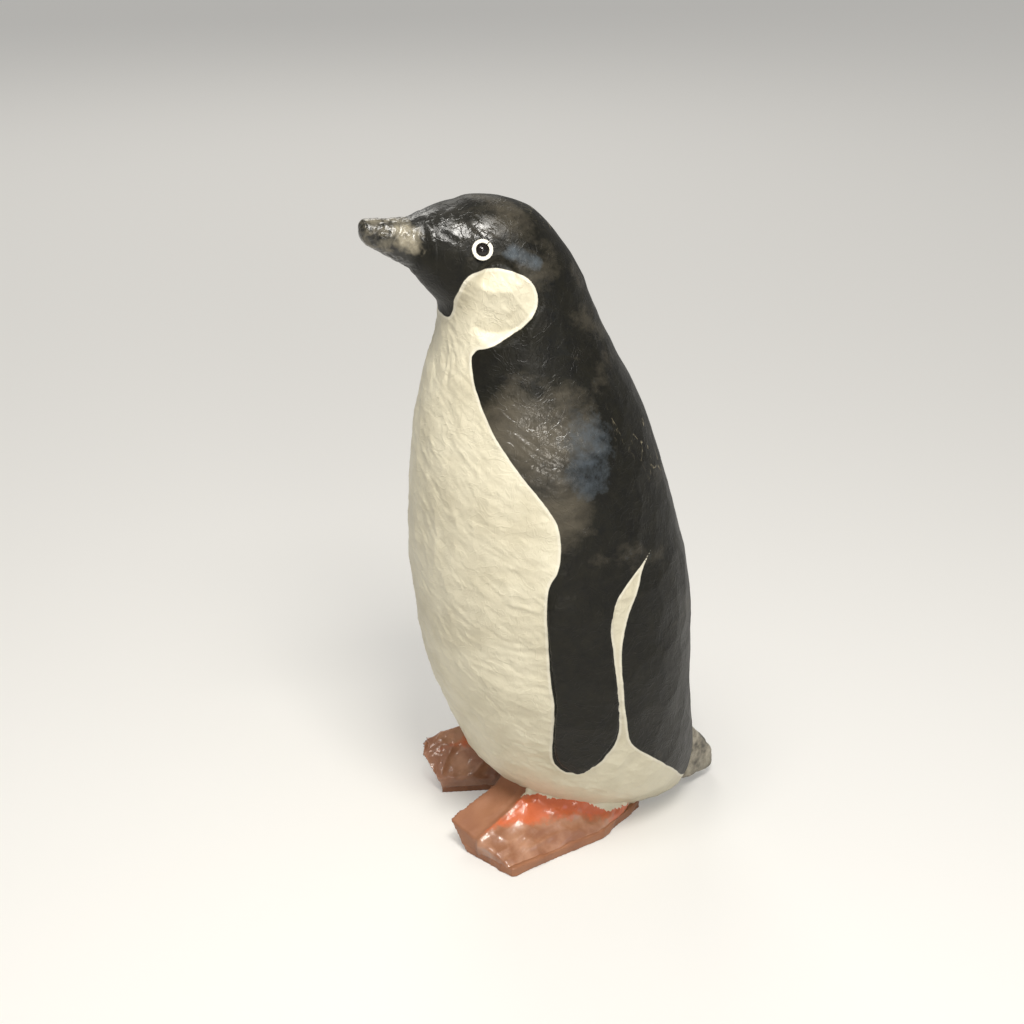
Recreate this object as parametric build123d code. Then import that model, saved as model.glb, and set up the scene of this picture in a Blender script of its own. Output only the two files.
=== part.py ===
from build123d import *
from collections import namedtuple
import os

# Penguin figurine of pasted paper over wooden fittings, standing on two wedge feet.
# Millimetres. +Z is up, the bird faces -Y and its left side is +X.
# The origin is on the ground, under the middle of the whole figure.

# Whole figure
FIGURE_HEIGHT = 500.0
FIT_GAP = 0.3
CUT_OVERRUN = 20.0

# Body shells
BODY_WIDTH = 210.0
BODY_DEPTH = 210.0
SHELL_WALL = 5.0

# Each body section, from the seat to the crown: its height as a share of the body's height, its centre and
# its half depth as shares of the body's depth with the half width between them as a share of its width.
BODY_SECTION_SHARES = (
    (0.000, 0.256, 0.162, 0.295),
    (0.023, 0.227, 0.229, 0.333),
    (0.057, 0.184, 0.314, 0.381),
    (0.107, 0.127, 0.386, 0.429),
    (0.170, 0.079, 0.436, 0.452),
    (0.262, 0.032, 0.485, 0.487),
    (0.351, 0.008, 0.500, 0.500),
    (0.436, -0.021, 0.498, 0.498),
    (0.521, -0.049, 0.471, 0.471),
    (0.604, -0.073, 0.438, 0.438),
    (0.684, -0.092, 0.390, 0.390),
    (0.742, -0.108, 0.338, 0.340),
    (0.801, -0.125, 0.287, 0.287),
    (0.860, -0.154, 0.254, 0.253),
    (0.907, -0.178, 0.224, 0.224),
    (0.945, -0.206, 0.185, 0.185),
    (0.976, -0.232, 0.138, 0.138),
    (0.993, -0.247, 0.090, 0.090),
    (1.000, -0.249, 0.050, 0.050),
)

# Muzzle and beak, measured forward from the middle of the crown and down from its top
MUZZLE_REACH = 55.0
BEAK_LENGTH = 38.5
BEAK_ROOT_HEIGHT = 37.0
BEAK_ROOT_WIDTH = 38.0
BEAK_ROOT_DROP = 31.5
BEAK_TIP_HEIGHT = 15.0
BEAK_TIP_WIDTH = 13.0
BEAK_TIP_DROP = 18.5
BEAK_NOSE_LENGTH = 4.0
BEAK_NOSE_SHARE = 0.6
BEAK_PEG_DIAMETER = 10.0
BEAK_PEG_LENGTH = 36.0

# Muzzle sections behind the beak root: distance back as a share of the body's depth, middle height and half
# height as shares of the figure's height, half width as a share of the body's width.
MUZZLE_SECTION_SHARES = (
    (0.416, 0.892, 0.066, 0.165),
    (0.182, 0.905, 0.083, 0.188),
    (0.094, 0.917, 0.067, 0.157),
)

# Eyes, measured back from the beak root and down from the crown
EYE_SETBACK = 38.0
EYE_DROP = 31.0
EYE_DIAMETER = 9.0
EYE_BULGE = 3.2
EYE_SHANK_DIAMETER = 3.5
EYE_SHANK_LENGTH = 9.0
EYE_RING_DIAMETER = 14.5
EYE_RING_THICKNESS = 1.8
EYE_RING_JOINT = 0.6
EYE_RING_JOINT_ANGLE = 40.0
EYE_SEAT_DEPTH = 0.8

# Flippers
FLIPPER_THICKNESS = 3.0
FLIPPER_LENGTH = 232.0
FLIPPER_WIDTH = 83.0
FLIPPER_TIP_RISE = 75.0
FLIPPER_FORWARD = 45.0

# Outline of a flipper from its tip up the front edge, over the shoulder and down the hollow rear edge:
# distance back from its front edge as a share of its width, height above its tip as a share of its length.
FLIPPER_OUTLINE_SHARES = (
    (0.34, 0.00),
    (0.19, 0.06),
    (0.10, 0.27),
    (0.00, 0.60),
    (0.04, 0.75),
    (0.17, 0.90),
    (0.48, 1.00),
    (0.83, 0.94),
    (1.00, 0.79),
    (0.77, 0.71),
    (0.59, 0.63),
    (0.55, 0.51),
    (0.64, 0.29),
    (0.66, 0.15),
    (0.55, 0.06),
)

# Feet, both measured from the middle of the toe edge
FOOT_LENGTH = 145.0
FOOT_WIDTH = 50.0
FOOT_HEEL_WIDTH = 30.0
FOOT_BULGE = 11.0
FOOT_BULGE_SHARE = 0.6
FOOT_TOP_RISE = 54.0
SOLE_THICKNESS = 7.0

# The feet are bent up by hand, so each has its own place, measured out from the seam and back from the
# body's front, and its own toe: height, overhang and lean of the inner edge, place and height of the ridge.
LEFT_FOOT_SPREAD = 65.0
LEFT_FOOT_SETBACK = 27.0
LEFT_FOOT_SPLAY_ANGLE = 23.0
LEFT_TOE_HEIGHT = 22.0
LEFT_TOE_OVERHANG = 18.0
LEFT_TOE_LEAN = 0.0
LEFT_RIDGE_OFFSET = 14.0
LEFT_RIDGE_HEIGHT = 16.0
RIGHT_FOOT_SPREAD = 71.0
RIGHT_FOOT_SETBACK = 40.0
RIGHT_FOOT_SPLAY_ANGLE = 24.0
RIGHT_TOE_HEIGHT = 40.0
RIGHT_TOE_OVERHANG = 5.0
RIGHT_TOE_LEAN = 14.0
RIGHT_RIDGE_OFFSET = 19.0
RIGHT_RIDGE_HEIGHT = 41.0

# Floor board and leg dowels
BOARD_RISE = 56.0
BOARD_THICKNESS = 12.0
DOWEL_DIAMETER = 14.0
DOWEL_SETBACK = 72.0

# Seam band inside the shells
BAND_WIDTH = 24.0
BAND_THICKNESS = 1.6

# Tail and its tenon
TAIL_LENGTH = 27.2
TAIL_WIDTH = 40.0
TAIL_HEIGHT = 47.0
TAIL_CLEARANCE = 9.0
TAIL_TIP_WIDTH = 10.0
TAIL_TIP_HEIGHT = 16.0
TAIL_TIP_CLEARANCE = 6.0
TENON_WIDTH = 18.0
TENON_HEIGHT = 12.0
TENON_RISE = 30.0
TENON_REACH = 20.0

BODY_SEAT = SOLE_THICKNESS + FIT_GAP
CROWN_CENTRE = BODY_SECTION_SHARES[-1][1] * BODY_DEPTH
BEAK_ROOT = CROWN_CENTRE - MUZZLE_REACH
BEAK_TIP = BEAK_ROOT - BEAK_LENGTH
BEAK_ROOT_RISE = FIGURE_HEIGHT - BEAK_ROOT_DROP
BEAK_TIP_RISE = FIGURE_HEIGHT - BEAK_TIP_DROP

# How a round piece sits on the plane it is drawn on
ON_PLANE = (Align.CENTER, Align.CENTER, Align.MIN)
UNDER_PLANE = (Align.CENTER, Align.CENTER, Align.MAX)

Foot = namedtuple("Foot", "spread setback splay toe_height toe_overhang toe_lean ridge_offset ridge_height")
LEFT_FOOT = Foot(
    LEFT_FOOT_SPREAD,
    LEFT_FOOT_SETBACK,
    LEFT_FOOT_SPLAY_ANGLE,
    LEFT_TOE_HEIGHT,
    LEFT_TOE_OVERHANG,
    LEFT_TOE_LEAN,
    LEFT_RIDGE_OFFSET,
    LEFT_RIDGE_HEIGHT,
)
RIGHT_FOOT = Foot(
    RIGHT_FOOT_SPREAD,
    RIGHT_FOOT_SETBACK,
    RIGHT_FOOT_SPLAY_ANGLE,
    RIGHT_TOE_HEIGHT,
    RIGHT_TOE_OVERHANG,
    RIGHT_TOE_LEAN,
    RIGHT_RIDGE_OFFSET,
    RIGHT_RIDGE_HEIGHT,
)


def oval(half_width, half_depth):
    """Face of an oval, always started at the same side so that stacked ovals loft without twisting."""
    return scale(Circle(1), (half_width, half_depth, 1))


def face_oval(forward, rise, half_width, half_height):
    """Upright oval across the face, square to the way the bird looks."""
    return Pos(0, forward, rise) * Rot(90, 0, 0) * oval(half_width, half_height)


def body_solid(inset):
    """Egg of the body, neck and head, smaller by the inset all round."""
    body_height = FIGURE_HEIGHT - BODY_SEAT - 2 * inset
    sections = []
    for height_share, centre_share, width_share, depth_share in BODY_SECTION_SHARES:
        section = oval(width_share * BODY_WIDTH - inset, depth_share * BODY_DEPTH - inset)
        rise = BODY_SEAT + inset + height_share * body_height
        sections.append(Pos(0, centre_share * BODY_DEPTH, rise) * section)
    return loft(sections)


def muzzle_solid(inset):
    """Cone of the face, from inside the head to the beak root."""
    sections = []
    for back_share, middle_share, height_share, width_share in MUZZLE_SECTION_SHARES:
        half_width = width_share * BODY_WIDTH - inset
        half_height = height_share * FIGURE_HEIGHT - inset
        forward = BEAK_ROOT + back_share * BODY_DEPTH
        sections.append(face_oval(forward, middle_share * FIGURE_HEIGHT, half_width, half_height))
    half_width = BEAK_ROOT_WIDTH / 2 - inset
    half_height = BEAK_ROOT_HEIGHT / 2 - inset
    sections.append(face_oval(BEAK_ROOT + inset, BEAK_ROOT_RISE, half_width, half_height))
    return loft(sections)


def figure_solid(inset):
    """Body and muzzle in one, smaller by the inset all round."""
    return body_solid(inset) + muzzle_solid(inset)


def peg_plane():
    """Plane across the beak root whose normal points along the beak."""
    return Plane((0, BEAK_ROOT, BEAK_ROOT_RISE), z_dir=(0, -BEAK_LENGTH, BEAK_TIP_RISE - BEAK_ROOT_RISE))


def peg_solid(gap):
    """Peg, half in the beak and half in the muzzle."""
    return peg_plane() * Cylinder(BEAK_PEG_DIAMETER / 2 + gap, BEAK_PEG_LENGTH + 2 * gap)


def beak_solid():
    """Beak that grows out of the muzzle and ends in a blunt nose, bored for its peg."""
    nose_width = BEAK_NOSE_SHARE * BEAK_TIP_WIDTH
    nose_height = BEAK_NOSE_SHARE * BEAK_TIP_HEIGHT
    root_face = face_oval(BEAK_ROOT, BEAK_ROOT_RISE, BEAK_ROOT_WIDTH / 2, BEAK_ROOT_HEIGHT / 2)
    cone_end = BEAK_TIP + BEAK_NOSE_LENGTH
    cone_face = face_oval(cone_end, BEAK_TIP_RISE, BEAK_TIP_WIDTH / 2, BEAK_TIP_HEIGHT / 2)
    nose_face = face_oval(BEAK_TIP, BEAK_TIP_RISE, nose_width / 2, nose_height / 2)
    blank = loft([root_face, cone_face], ruled=True) + loft([cone_face, nose_face], ruled=True)
    return blank - peg_solid(FIT_GAP)


def eye_plane(figure):
    """Plane of the left eye's seat, cut a little into the side of the head."""
    across = Axis((0, BEAK_ROOT + EYE_SETBACK, FIGURE_HEIGHT - EYE_DROP), (1, 0, 0))
    hits = figure.find_intersection_points(across)
    place, outward = max(hits, key=lambda hit: hit[0].X)
    return Plane(place, x_dir=(0, 1, 0), z_dir=outward).offset(-EYE_SEAT_DEPTH)


def eye_seat(plane):
    """Hole for an eye's shank and the shallow round seat of its ring."""
    seat = Cylinder(EYE_RING_DIAMETER / 2 + FIT_GAP, CUT_OVERRUN, align=ON_PLANE)
    hole = Cylinder(EYE_SHANK_DIAMETER / 2 + FIT_GAP, 2 * CUT_OVERRUN)
    return plane * seat + plane * hole


def eye_solid(plane):
    """Glass eye: a round dome on a shank."""
    dome_radius = (EYE_DIAMETER ** 2 / 4 + EYE_BULGE ** 2) / (2 * EYE_BULGE)
    ball = Pos(0, 0, EYE_BULGE - dome_radius) * Sphere(dome_radius)
    upper_half = Cylinder(2 * dome_radius, 2 * EYE_BULGE, align=ON_PLANE)
    shank = Cylinder(EYE_SHANK_DIAMETER / 2, EYE_SHANK_LENGTH, align=UNDER_PLANE)
    return plane * ((ball & upper_half) + shank)


def eye_ring_solid(plane):
    """Ring bent from a strip, with an open butt joint."""
    ring = Circle(EYE_RING_DIAMETER / 2) - Circle(EYE_DIAMETER / 2 + FIT_GAP)
    joint = Pos(EYE_RING_DIAMETER / 2, 0) * Rectangle(EYE_RING_DIAMETER / 2, EYE_RING_JOINT)
    return plane * extrude(ring - Rot(0, 0, EYE_RING_JOINT_ANGLE) * joint, EYE_RING_THICKNESS)


def flipper_solid():
    """Left flipper: a thin leaf that follows the side of the body."""
    points = []
    for back_share, rise_share in FLIPPER_OUTLINE_SHARES:
        back = back_share * FLIPPER_WIDTH - FLIPPER_FORWARD
        points.append((0, back, FLIPPER_TIP_RISE + rise_share * FLIPPER_LENGTH))
    outline = make_face(Spline(*points, periodic=True))
    block = extrude(outline, BODY_WIDTH, dir=(1, 0, 0))
    return block & body_solid(-FIT_GAP - FLIPPER_THICKNESS) - body_solid(-FIT_GAP)


def foot_place(foot):
    """Place of a left foot's toe edge on the ground, turned out by its splay."""
    return Pos(foot.spread, foot.setback - BODY_DEPTH / 2, 0) * Rot(0, 0, foot.splay)


def foot_section(points):
    """Upright face across the foot through points given as outward distance, distance back and height."""
    return make_face(Polyline(*points, close=True))


def foot_stations():
    """Distance back, outer edge, inner edge and rise of the top at the toe, the middle and the heel."""
    outer = FOOT_WIDTH / 2
    middle_back = FOOT_BULGE_SHARE * FOOT_LENGTH
    middle_inner = outer - FOOT_WIDTH + FOOT_BULGE_SHARE * (FOOT_WIDTH - FOOT_HEEL_WIDTH)
    return (
        (0, outer, outer - FOOT_WIDTH, 0),
        (middle_back, outer + FOOT_BULGE, middle_inner, FOOT_BULGE_SHARE * FOOT_TOP_RISE),
        (FOOT_LENGTH, outer, outer - FOOT_HEEL_WIDTH, FOOT_TOP_RISE),
    )


def sole_solid(foot):
    """Flat sole, narrower at the heel, with its inner edge leaning outward from the ground."""
    overhang = foot.toe_overhang * SOLE_THICKNESS / foot.toe_height
    sections = []
    for back, outer, inner, rise in foot_stations():
        points = [(outer, back, 0), (inner, back, 0)]
        points += [(inner - overhang, back, SOLE_THICKNESS), (outer, back, SOLE_THICKNESS)]
        sections.append(foot_section(points))
    return foot_place(foot) * loft(sections, ruled=True)


def dowel_solid(foot, gap):
    """Dowel that stands on the sole and ends flush with the top of the board."""
    height = BOARD_RISE + BOARD_THICKNESS - SOLE_THICKNESS
    rod = Cylinder(DOWEL_DIAMETER / 2 + gap, height, align=ON_PLANE)
    return Pos(*(foot_place(foot) * Pos(0, DOWEL_SETBACK, SOLE_THICKNESS)).position) * rod


def foot_upper_solid(foot):
    """Wedge on the sole that rises from the toe to the belly, ridged between its top and outer side."""
    overhang = foot.toe_overhang * SOLE_THICKNESS / foot.toe_height
    ridge_lean = foot.toe_lean * (foot.ridge_height - SOLE_THICKNESS) / (foot.toe_height - SOLE_THICKNESS)
    leans = ((foot.toe_lean, ridge_lean), (0, 0), (0, 0))
    sections = []
    for (back, outer, inner, rise), (edge_lean, crest_lean) in zip(foot_stations(), leans):
        points = [(outer, back, SOLE_THICKNESS), (inner - overhang, back, SOLE_THICKNESS)]
        points.append((inner - foot.toe_overhang, back - edge_lean, foot.toe_height + rise))
        points.append((inner + foot.ridge_offset, back - crest_lean, foot.ridge_height + rise))
        sections.append(foot_section(points))
    wedge = foot_place(foot) * loft(sections, ruled=True)
    return wedge - body_solid(-FIT_GAP) - dowel_solid(foot, FIT_GAP)


def rump(body):
    """How far back the body reaches at the height of the tail's tenon."""
    backward = Axis((0, CROWN_CENTRE, TENON_RISE), (0, 1, 0))
    hits = body.find_intersection_points(backward)
    return max(place.Y for place, outward in hits)


def tenon_solid(gap):
    """Tenon of the tail, along the seam."""
    width = TENON_WIDTH + 2 * gap
    height = TENON_HEIGHT + 2 * gap
    return Pos(0, TAIL_ROOT, TENON_RISE) * Box(width, 2 * (TENON_REACH + gap), height)


def tail_solid():
    """Short wedge behind the rump, a little clear of the ground."""
    root_middle = TAIL_CLEARANCE + TAIL_HEIGHT / 2
    tip_middle = TAIL_TIP_CLEARANCE + TAIL_TIP_HEIGHT / 2
    root_face = Pos(0, TAIL_ROOT, root_middle) * Rot(90, 0, 0) * Rectangle(TAIL_WIDTH, TAIL_HEIGHT)
    tip_place = Pos(0, TAIL_TIP, tip_middle) * Rot(90, 0, 0)
    tip_face = tip_place * Rectangle(TAIL_TIP_WIDTH, TAIL_TIP_HEIGHT)
    wedge = loft([root_face, tip_face], ruled=True) + extrude(root_face, CUT_OVERRUN, dir=(0, -1, 0))
    return wedge - body_solid(-FIT_GAP) + tenon_solid(0)


def seam_band_solid(cavity):
    """Paper strip inside the shells, across the seam from seat to crown and into the muzzle."""
    strip = Pos(0, 0, FIGURE_HEIGHT / 2) * Box(BAND_WIDTH, 2 * TAIL_TIP, FIGURE_HEIGHT)
    band = (cavity - figure_solid(SHELL_WALL + BAND_THICKNESS)) & strip
    return band - peg_solid(FIT_GAP) - tenon_solid(FIT_GAP)


def board_solid():
    """Floor board that fits inside the seam band, bored for the dowels."""
    slab = Pos(0, 0, BOARD_RISE + BOARD_THICKNESS / 2) * Box(BODY_WIDTH, 2 * TAIL_TIP, BOARD_THICKNESS)
    slab -= dowel_solid(LEFT_FOOT, FIT_GAP)
    slab -= mirror(dowel_solid(RIGHT_FOOT, FIT_GAP), Plane.YZ)
    return slab & body_solid(SHELL_WALL + BAND_THICKNESS + FIT_GAP)


figure = figure_solid(0)
TAIL_ROOT = rump(figure)
TAIL_TIP = TAIL_ROOT + TAIL_LENGTH
cavity = figure_solid(SHELL_WALL)
left_eye_plane = eye_plane(figure)

# Shells, with the openings for everything that passes through them
shell = figure - cavity - peg_solid(FIT_GAP) - tenon_solid(FIT_GAP)
shell -= dowel_solid(LEFT_FOOT, FIT_GAP)
shell -= mirror(dowel_solid(RIGHT_FOOT, FIT_GAP), Plane.YZ)
shell -= eye_seat(left_eye_plane)
shell -= mirror(eye_seat(left_eye_plane), Plane.YZ)

nodes = {
    "body_shell_left": split(shell, Plane.YZ, keep=Keep.TOP),
    "body_shell_right": split(shell, Plane.YZ, keep=Keep.BOTTOM),
    "seam_band": seam_band_solid(cavity),
    "floor_board": board_solid(),
    "beak": beak_solid(),
    "beak_peg": peg_solid(0),
    "tail": tail_solid(),
    "leg_dowel_left": dowel_solid(LEFT_FOOT, 0),
    "leg_dowel_right": mirror(dowel_solid(RIGHT_FOOT, 0), Plane.YZ),
    "foot_sole_left": sole_solid(LEFT_FOOT),
    "foot_sole_right": mirror(sole_solid(RIGHT_FOOT), Plane.YZ),
    "foot_upper_left": foot_upper_solid(LEFT_FOOT),
    "foot_upper_right": mirror(foot_upper_solid(RIGHT_FOOT), Plane.YZ),
}
for name, left_solid in (
    ("eye", eye_solid(left_eye_plane)),
    ("eye_ring", eye_ring_solid(left_eye_plane)),
    ("flipper", flipper_solid()),
):
    nodes[name + "_left"] = left_solid
    nodes[name + "_right"] = mirror(left_solid, Plane.YZ)

# The origin goes under the middle between beak tip and tail tip
middle = (BEAK_TIP + TAIL_TIP) / 2
os.makedirs("parts", exist_ok=True)
for name, solid in nodes.items():
    export_step(Pos(0, -middle, 0) * solid, f"parts/{name}.step")
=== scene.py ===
import math

import bpy
import numpy as np
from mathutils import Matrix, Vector, noise
from mathutils.bvhtree import BVHTree


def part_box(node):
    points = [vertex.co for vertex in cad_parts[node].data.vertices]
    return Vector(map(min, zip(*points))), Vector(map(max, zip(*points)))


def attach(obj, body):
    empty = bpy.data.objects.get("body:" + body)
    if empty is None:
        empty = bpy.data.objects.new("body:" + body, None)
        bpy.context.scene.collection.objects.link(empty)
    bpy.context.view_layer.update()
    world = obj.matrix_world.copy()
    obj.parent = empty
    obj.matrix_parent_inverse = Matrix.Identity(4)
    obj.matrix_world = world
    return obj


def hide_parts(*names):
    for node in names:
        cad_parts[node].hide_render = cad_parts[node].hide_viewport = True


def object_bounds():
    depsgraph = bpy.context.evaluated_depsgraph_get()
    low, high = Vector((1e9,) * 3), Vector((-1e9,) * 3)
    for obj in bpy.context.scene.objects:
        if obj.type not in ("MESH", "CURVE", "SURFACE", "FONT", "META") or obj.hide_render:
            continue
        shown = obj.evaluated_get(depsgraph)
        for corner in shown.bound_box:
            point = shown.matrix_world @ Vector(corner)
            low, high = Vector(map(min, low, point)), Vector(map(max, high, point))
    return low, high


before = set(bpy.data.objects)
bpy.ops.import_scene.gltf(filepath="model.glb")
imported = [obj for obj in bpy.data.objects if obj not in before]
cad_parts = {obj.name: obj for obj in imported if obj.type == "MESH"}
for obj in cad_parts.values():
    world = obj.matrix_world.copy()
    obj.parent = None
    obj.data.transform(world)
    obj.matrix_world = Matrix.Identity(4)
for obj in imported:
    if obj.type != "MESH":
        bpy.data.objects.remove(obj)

cad_low, cad_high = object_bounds()

# Pasted paper body
# Two half shells of torn newspaper pasted in layers over a form, joined along the seam and papered over. They
# were brushed black and white with house paint and varnished, so every fold of the paper shows through.
MM = 0.001
SKIN_SPACING = 1.35 * MM
SKIN_ROUNDING = 8
RING_POINTS = 260
RING_STEP = 2.0 * MM
FIRST_RING = 0.5 * MM
CROWN_DEPTH = 24.0 * MM
CROWN_STEP = 0.6 * MM

# A ray that falls into a bore lands deep inside, so no radius is less than the middle one of its neighbours,
# this many rings and points away, by more than this depth
BORE_STEPS = 4
BORE_DEPTH = 1.0 * MM

# Middle of the body from seat to crown: height above the ground and distance behind the origin, in mm
CENTRE_LINE = (
    (7, 54), (36, 39), (60, 27), (91, 17), (136, 7),
    (222, -4), (344, -19), (402, -26), (454, -37), (500, -52),
)


def centre_behind(rise):
    """How far behind the origin the middle of the body lies at a height, both in metres."""
    rises, places = zip(*CENTRE_LINE)
    return np.interp(np.asarray(rise) / MM, rises, places) * MM


def search_tree(*meshes):
    """Tree that finds places on the surfaces of some meshes."""
    points, faces = [], []
    for mesh in meshes:
        first = len(points)
        points += [vertex.co.copy() for vertex in mesh.vertices]
        faces += [[first + corner for corner in face.vertices] for face in mesh.polygons]
    return BVHTree.FromPolygons(points, faces)


def shell_grid():
    """Points of the outside of the shells, ring by ring from the seat to the crown, without their bores."""
    shells = search_tree(*(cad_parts[node].data for node in ("body_shell_left", "body_shell_right")))
    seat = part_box("body_shell_left")[0].z
    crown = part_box("body_shell_left")[1].z
    lower_rises = np.arange(seat + FIRST_RING, crown - CROWN_DEPTH, RING_STEP)
    upper_rises = np.arange(crown - CROWN_DEPTH, crown, CROWN_STEP)
    rises = np.concatenate([lower_rises, upper_rises])
    turns = np.linspace(0, 2 * math.pi, RING_POINTS, endpoint=False)
    reach = (cad_high - cad_low).length
    radii = np.zeros((len(rises), RING_POINTS))
    for row, rise in enumerate(rises):
        middle = Vector((0, float(centre_behind(rise)), rise))
        for column, turn in enumerate(turns):
            outward = Vector((math.sin(turn), -math.cos(turn), 0))
            place, normal, face, distance = shells.ray_cast(middle + outward * reach, -outward)
            radii[row, column] = reach - distance if place else 0
    padded = np.pad(radii, ((BORE_STEPS, BORE_STEPS), (0, 0)), mode="edge")
    neighbours = [
        np.roll(padded[down:down + len(rises)], along, 1)
        for down in (0, BORE_STEPS, 2 * BORE_STEPS)
        for along in (-BORE_STEPS, 0, BORE_STEPS)
    ]
    radii = np.maximum(radii, np.median(neighbours, axis=0) - BORE_DEPTH)
    across = np.sin(turns) * radii
    behind = centre_behind(rises)[:, None] - np.cos(turns) * radii
    return np.stack([across, behind, np.repeat(rises[:, None], RING_POINTS, 1)], axis=2)


def grid_mesh(name, grid):
    """Closed mesh through rings of points, with a fan of faces over each end."""
    rings, columns = grid.shape[:2]
    points = [tuple(point) for point in grid.reshape(-1, 3)]
    points += [tuple(grid[0].mean(0)), tuple(grid[-1].mean(0))]
    bottom, top = len(points) - 2, len(points) - 1
    faces = []
    for column in range(columns):
        following = (column + 1) % columns
        faces.append((bottom, following, column))
        faces.append((top, (rings - 1) * columns + column, (rings - 1) * columns + following))
        for row in range(rings - 1):
            low, high = row * columns, (row + 1) * columns
            faces.append((low + column, low + following, high + following, high + column))
    mesh = bpy.data.meshes.new(name)
    mesh.from_pydata(points, [], faces)
    return mesh


def applied(piece):
    """Puts a piece's modifiers into its mesh."""
    evaluated = piece.evaluated_get(bpy.context.evaluated_depsgraph_get())
    piece.data = bpy.data.meshes.new_from_object(evaluated)
    piece.modifiers.clear()
    piece.data.shade_smooth()
    return piece


def add_rounding(piece, rounds):
    """Modifier that rounds a piece off, more with each round."""
    rounded = piece.modifiers.new("rounded", "SMOOTH")
    rounded.factor = 0.5
    rounded.iterations = rounds
    return rounded


def evened(name, mesh, spacing, rounds):
    """Object with evenly spaced points over a closed mesh, rounded off a little."""
    piece = bpy.data.objects.new(name, mesh)
    bpy.context.scene.collection.objects.link(piece)
    even = piece.modifiers.new("even points", "REMESH")
    even.mode = "VOXEL"
    even.voxel_size = spacing
    add_rounding(piece, rounds)
    applied(piece)
    piece.data.name = name
    return piece


LEAST_WEIGHT = 0.02


def soften(piece, weights, rounds):
    """Rounds a piece off more where its weights are high."""
    group = piece.vertex_groups.new(name="softened")
    for index in np.flatnonzero(weights > LEAST_WEIGHT):
        group.add([int(index)], float(weights[index]), "REPLACE")
    add_rounding(piece, rounds).vertex_group = group.name
    applied(piece)
    piece.vertex_groups.clear()


def points_of(mesh):
    """Places and outward directions of a mesh's points, as arrays."""
    places = np.empty(len(mesh.vertices) * 3)
    mesh.vertices.foreach_get("co", places)
    directions = np.empty(len(mesh.vertices) * 3)
    mesh.vertex_normals.foreach_get("vector", directions)
    return places.reshape(-1, 3), directions.reshape(-1, 3)


def move_points(mesh, places):
    """Puts a mesh's points at new places."""
    mesh.vertices.foreach_set("co", places.ravel())
    mesh.update()


def smooth_step(values, low, high):
    """0 below low, 1 above high and an even curve between."""
    share = np.clip((np.asarray(values) - low) / (high - low), 0, 1)
    return share * share * (3 - 2 * share)


def between(low, high, share):
    """Goes from low to high as a share goes from 0 to 1."""
    return low + (high - low) * share


# The brow is filled out and the crown lowered a little, and the head is rounded off up to the muzzle's front
BROW_FILL = 6.5 * MM
BROW_MIDDLE = -80 * MM
BROW_LENGTH = 18 * MM
BROW_HALF_WIDTH = 30 * MM
BROW_RISES = (468 * MM, 482 * MM)
CROWN_DROP = 3.0 * MM
CROWN_RISES = (486 * MM, 499 * MM)
HEAD_RISES = (395 * MM, 425 * MM)
HEAD_AHEAD = (20 * MM, 50 * MM)
MUZZLE_KEPT = (4 * MM, 14 * MM)
HEAD_ROUNDING = 70

body = evened("paper_body", grid_mesh("paper_body", shell_grid()), SKIN_SPACING, SKIN_ROUNDING)
places, directions = points_of(body.data)
along_brow = (places[:, 1] - BROW_MIDDLE) / BROW_LENGTH
across_brow = places[:, 0] / BROW_HALF_WIDTH
over_brow = np.exp(-(along_brow**2) - across_brow**2)
places[:, 2] += BROW_FILL * over_brow * smooth_step(places[:, 2], *BROW_RISES)
places[:, 2] -= CROWN_DROP * smooth_step(places[:, 2], *CROWN_RISES)
move_points(body.data, places)
behind_muzzle = places[:, 1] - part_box("body_shell_left")[0].y
on_head = smooth_step(places[:, 2], *HEAD_RISES) * smooth_step(-places[:, 1], *HEAD_AHEAD)
soften(body, on_head * smooth_step(behind_muzzle, *MUZZLE_KEPT), HEAD_ROUNDING)
places, directions = points_of(body.data)

# Flats pressed into the cheeks: a place on the skin, the way the flat faces, and its depth and reach, in mm
CHEEK_FLATS = (
    ((45, -63, 433), (0.88, -0.45, -0.16), 3.4, 31),
    ((42, -60, 450), (0.80, -0.44, 0.42), 2.6, 15),
    ((51, -44, 436), (0.97, -0.16, 0.08), 1.6, 15),
)
FLAT_SHARE = 0.75


def press_flat(places, place, facing, depth, reach):
    """Pushes points back to a flat that faces a way at a depth below a place, within its reach, in mm."""
    facing_out = np.array(Vector(facing).normalized())
    from_place = places - np.array(place) * MM
    proud = np.clip(from_place @ facing_out + depth * MM, 0, None)
    proud *= 1 - smooth_step(np.linalg.norm(from_place, axis=1), reach * FLAT_SHARE * MM, reach * MM)
    places -= facing_out * proud[:, None]


for (across, behind, rise), (right, back, up), depth, reach in CHEEK_FLATS:
    press_flat(places, (across, behind, rise), (right, back, up), depth, reach)
    press_flat(places, (-across, behind, rise), (-right, back, up), depth, reach)

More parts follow.
